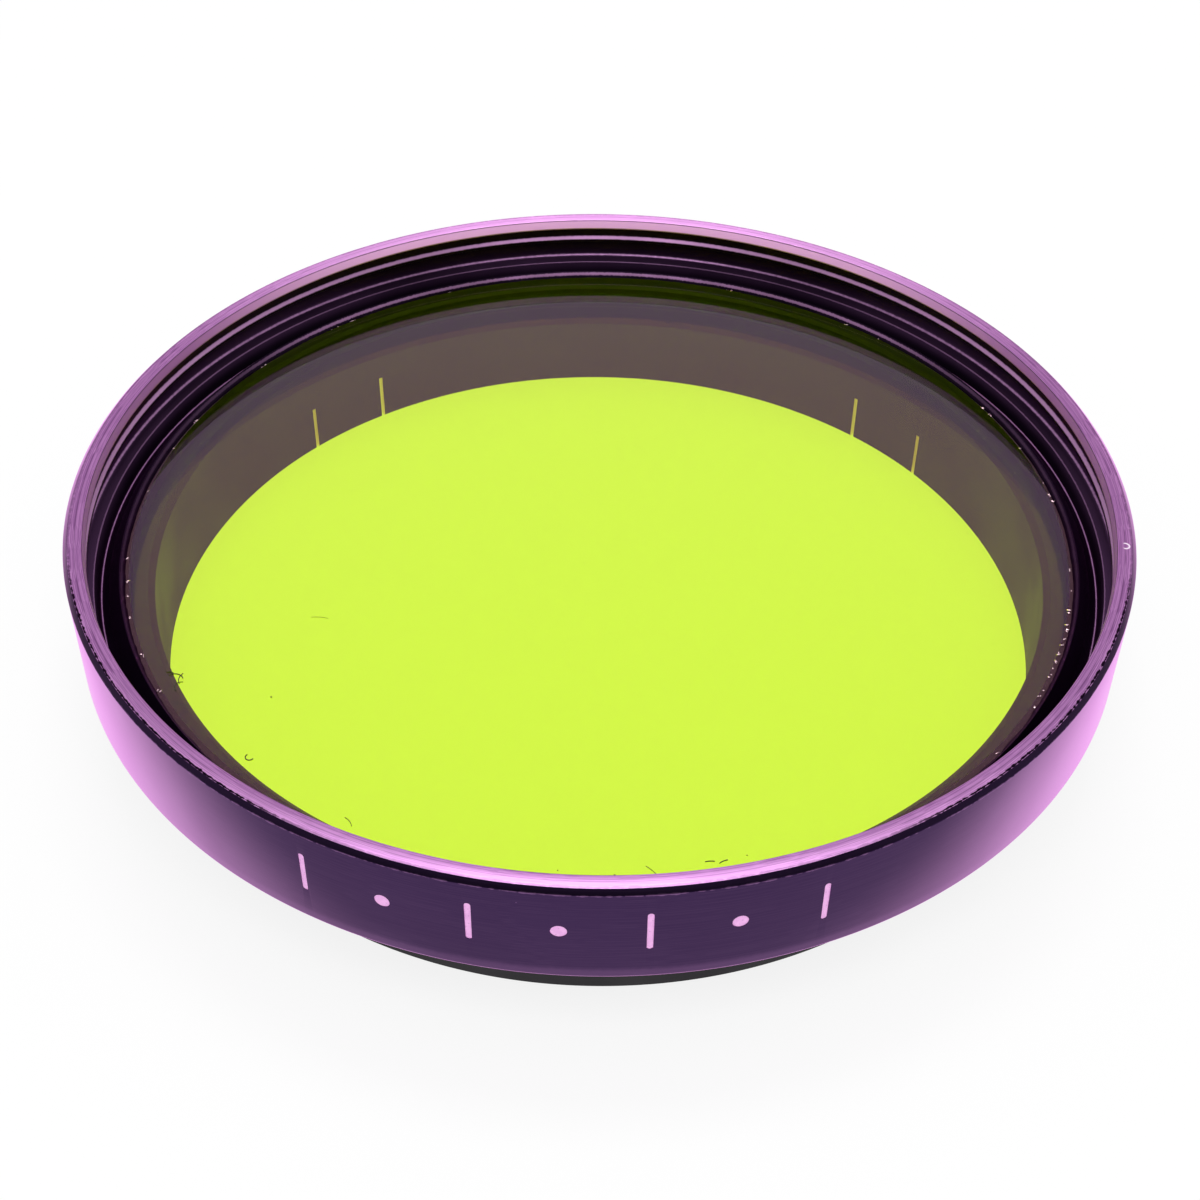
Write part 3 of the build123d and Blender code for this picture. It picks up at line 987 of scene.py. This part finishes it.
torn_metal, tree = material("torn_bright_metal")
grain = placed(tree, turning_lines, Spacing=0.03, Wander=0.6)
show(tree, add(tree, "BsdfPrincipled", {
    "Base Color": mixed(tree, grain["Height"], TORN_DULL, TORN_BRIGHT),
    "Metallic": 1.0,
    "Roughness": 0.35,
}))
burrs.data.materials.append(torn_metal)
print("burrs:", burr_count)

# %% [markdown]
# ## Lint and dust
# A few dark hairs and crumbs lie on the glass. A hair is a thin tube: a small circle spun through part of a
# turn. Each is given by its radius and azimuth on the glass, the radius of its bend, how far it turns, its
# thickness and its heading. A curve with a round profile would do as well; spin is the operator that made
# the ring, used here on a small scale. Finer dust is scattered by the seed.

# %% Lay the hairs and crumbs
GLASS_HAIRS = [
    (25.60, -59.2, 0.50, 110, 0.030, 20), (25.70, -58.6, 0.35, 150, 0.025, 80),
    (25.45, -60.0, 0.70, 70, 0.025, 140), (25.90, -60.6, 0.60, 40, 0.030, 60),
    (25.72, -43.7, 0.22, 200, 0.030, 130), (26.20, -27.2, 0.80, 50, 0.020, 10),
    (25.90, 12.8, 0.90, 30, 0.028, 80), (25.95, 14.2, 0.70, 38, 0.028, 100),
    (26.30, 6.4, 2.40, 18, 0.018, 35), (17.00, -61.0, 1.80, 30, 0.012, 70),
]
CRUMBS = [(22.4, -49.9, 0.05), (26.2, 2.0, 0.045), (26.0, -4.0, 0.035), (25.9, 16.4, 0.035)]
FINE_CRUMBS = 26
DUST_RADII, DUST_SIZES = (3, 26), (0.012, 0.028)
HAIR_SIDES, HAIR_STEPS = 6, 10
LINT_DARK, LINT_PALE = (0.03, 0.035, 0.012, 1), (0.09, 0.09, 0.04, 1)


def add_hair(mesh, radius, azimuth, bend, sweep, thickness, heading, height):
    """A curved tube lying flat at a height, with sizes in millimetres and angles in degrees."""
    ring_of_hair = bmesh.ops.create_circle(
        mesh, cap_ends=True, segments=HAIR_SIDES, radius=thickness * MM,
        matrix=Matrix.Translation((bend * MM, 0, 0)) @ Matrix.Rotation(math.pi / 2, 4, "X"),
    )
    before = set(mesh.verts) - set(ring_of_hair["verts"])
    faces = list({face for vert in ring_of_hair["verts"] for face in vert.link_faces})
    bmesh.ops.spin(
        mesh, geom=faces, cent=(0, 0, 0), axis=(0, 0, 1), dvec=(0, 0, 0),
        angle=math.radians(sweep), steps=HAIR_STEPS, use_merge=False, use_duplicate=False,
    )
    lift = height + thickness * MM
    place = Matrix.Translation(on_ring(azimuth, radius, lift))
    place = place @ Matrix.Rotation(math.radians(heading), 4, "Z") @ Matrix.Translation((-bend * MM, 0, 0))
    bmesh.ops.transform(mesh, matrix=place, verts=[vert for vert in mesh.verts if vert not in before])


lint_mesh = bmesh.new()
for hair in GLASS_HAIRS:
    add_hair(lint_mesh, *hair, GLASS_TOP_Z)
crumbs = list(CRUMBS)
for _ in range(FINE_CRUMBS):
    crumbs.append((draw.uniform(*DUST_RADII), draw.uniform(-180, 180), draw.uniform(*DUST_SIZES)))
for radius, azimuth, size in crumbs:
    place = Matrix.Translation(on_ring(azimuth, radius, GLASS_TOP_Z + size * MM * 0.5))
    bmesh.ops.create_icosphere(lint_mesh, subdivisions=1, radius=size * MM, matrix=place)
bmesh.ops.recalc_face_normals(lint_mesh, faces=lint_mesh.faces)
lint = piece("lint_and_dust", lint_mesh)

dark_lint, tree = material("dark_lint")
show(tree, add(tree, "BsdfPrincipled", {
    "Base Color": mixed(tree, object_noise(tree, scale=6000.0), LINT_DARK, LINT_PALE),
    "Roughness": 0.8,
    "Specular IOR Level": 0.2,
}))
lint.data.materials.append(dark_lint)
print("hairs:", len(GLASS_HAIRS), "crumbs:", len(crumbs))

# %% [markdown]
# ## The floor
# The filter stands on white paper that is lit until it shows no edge. More light would do that too, but it
# would bleach the ring. So what the camera, the glass and the metal see of the paper is mostly a glow of
# its own at the strength of white, and a share of lit paper is left in it, which keeps a faint shadow.

# %% Lay the floor
FLOOR_HALF_WIDTH = 1.5
PAPER_TONE = (0.9, 0.9, 0.9, 1)
WHITE = (1, 1, 1, 1)
GLOW_SHARE = 0.85

floor_mesh = bmesh.new()
bmesh.ops.create_grid(floor_mesh, x_segments=2, y_segments=2, size=FLOOR_HALF_WIDTH)
floor_data = bpy.data.meshes.new("floor")
floor_mesh.to_mesh(floor_data)
floor_mesh.free()
floor = bpy.data.objects.new("floor", floor_data)
bpy.context.scene.collection.objects.link(floor)

paper, tree = material("white_paper")
lit = add(tree, "BsdfDiffuse", {"Color": PAPER_TONE})
shown = add(tree, "Emission", {"Color": WHITE, "Strength": 1.0})
path = add(tree, "LightPath")
seen = maths(tree, "MAXIMUM", path.outputs["Is Camera Ray"], path.outputs["Is Transmission Ray"])
seen = maths(tree, "MAXIMUM", seen, path.outputs["Is Glossy Ray"])
share = maths(tree, "MULTIPLY", seen, GLOW_SHARE)
show(tree, add(tree, "MixShader", {0: share, 1: lit.outputs[0], 2: shown.outputs[0]}))
floor.data.materials.append(paper)
print("floor is", FLOOR_HALF_WIDTH * 2, "m wide")

# %% [markdown]
# ## The world
# A white studio stands all round. The camera sees it white, also through the glass, and its light on dull
# surfaces is weaker. In front of the ring it is dark for mirrored rays only, as the room behind a
# photographer is. Without that the wall's near side mirrors white and loses its deep purple.

# %% Set the world
DARK_SIDE = 0.12
DARK_UNTIL, WHITE_FROM = -0.62, -0.3
SOFT_LIGHT = 0.6

world = bpy.data.worlds.new("studio")
world.use_nodes = True
bpy.context.scene.world = world
tree = world.node_tree
tree.nodes.clear()
direction = add(tree, "TexCoord").outputs["Generated"]
along_y = add(tree, "SeparateXYZ", {0: direction}).outputs["Y"]
card = ramped(tree, along_y, DARK_UNTIL, WHITE_FROM, DARK_SIDE, 1.0)
soft = add(tree, "Background", {"Color": WHITE, "Strength": SOFT_LIGHT})
white = add(tree, "Background", {"Color": WHITE, "Strength": 1.0})
mirrored = add(tree, "Background", {"Color": WHITE, "Strength": card})
path = add(tree, "LightPath").outputs
glossy = add(tree, "MixShader", {0: path["Is Glossy Ray"], 1: soft.outputs[0], 2: mirrored.outputs[0]})
plain = maths(tree, "MAXIMUM", path["Is Camera Ray"], path["Is Transmission Ray"])
both = add(tree, "MixShader", {0: plain, 1: glossy.outputs[0], 2: white.outputs[0]})
show(tree, both, "OutputWorld")
print("world:", len(tree.nodes), "nodes")

# %% [markdown]
# ## The lamps
# Two soft boxes hang over the table. The one behind the middle draws the highlight along the near and the
# far rim, and the one in front lights the near side. Point lamps would make the highlight a hard spot. The
# power is low, so that a colour comes out about as it is written.

# %% Hang the lamps
OVERHEAD_ELEVATION = math.radians(73)
OVERHEAD_DISTANCE = 0.6
OVERHEAD_SIZE, OVERHEAD_POWER = (0.26, 0.14), 1.05
FILL_PLACE = (0, -0.25, 0.54)
FILL_SIZE, FILL_POWER = (0.40, 0.20), 1.25


def lamp(name, place, size, power):
    """A soft rectangular lamp at a place, turned to the middle of the filter's foot."""
    data = bpy.data.lights.new(name, "AREA")
    data.shape = "RECTANGLE"
    data.size, data.size_y = size
    data.energy = power
    made = bpy.data.objects.new(name, data)
    made.location = place
    made.rotation_euler = (-Vector(place)).to_track_quat("-Z", "Y").to_euler()
    bpy.context.scene.collection.objects.link(made)


behind = math.cos(OVERHEAD_ELEVATION) * OVERHEAD_DISTANCE
above = math.sin(OVERHEAD_ELEVATION) * OVERHEAD_DISTANCE
lamp("overhead", (0, behind, above), OVERHEAD_SIZE, OVERHEAD_POWER)
lamp("front_fill", FILL_PLACE, FILL_SIZE, FILL_POWER)
print("overhead lamp hangs", round(above, 2), "m up and", round(behind, 2), "m behind the middle")

bpy.context.scene.view_settings.view_transform = "Standard"
